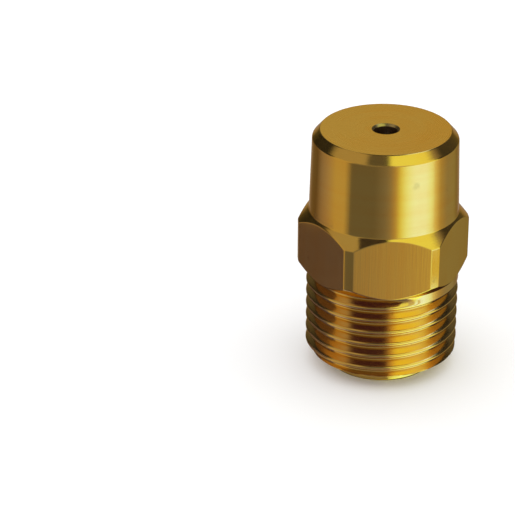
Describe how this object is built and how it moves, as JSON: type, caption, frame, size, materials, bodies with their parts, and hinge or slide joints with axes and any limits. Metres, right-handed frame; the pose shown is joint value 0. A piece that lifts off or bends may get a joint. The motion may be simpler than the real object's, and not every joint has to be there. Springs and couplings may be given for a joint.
{
  "type": "oil burner nozzle",
  "caption": "Brass pressure-jet oil burner nozzle: cylindrical spray head, wrench hexagon, external pipe thread and a drilled inlet plug that feeds a strainer and swirl cone inside.",
  "frame": {"origin": "centre of the inlet end face, which is the bottom of the part", "axes": "+Z along the nozzle's axis from the inlet to the spray opening; -Y is the outward normal of one wrench flat"},
  "size_m": [0.0234, 0.021, 0.0346],
  "materials": {
    "polished_brass": "fine-turned and polished, with draw marks on the wrench flats",
    "turned_brass": "turned, slightly matt",
    "stainless_steel": "ground and lapped",
    "bronze_gauze": "woven wire, dull"
  },
  "bodies": {
    "root": {"nozzle_body": "polished_brass", "inlet_plug": "turned_brass", "orifice_disc": "stainless_steel", "swirl_distributor": "stainless_steel", "lock_screw": "turned_brass", "strainer_core": "turned_brass", "strainer_gauze": "bronze_gauze", "strainer_front_collar": "turned_brass", "strainer_rear_collar": "turned_brass", "strainer_cap": "turned_brass"}
  },
  "joints": []
}
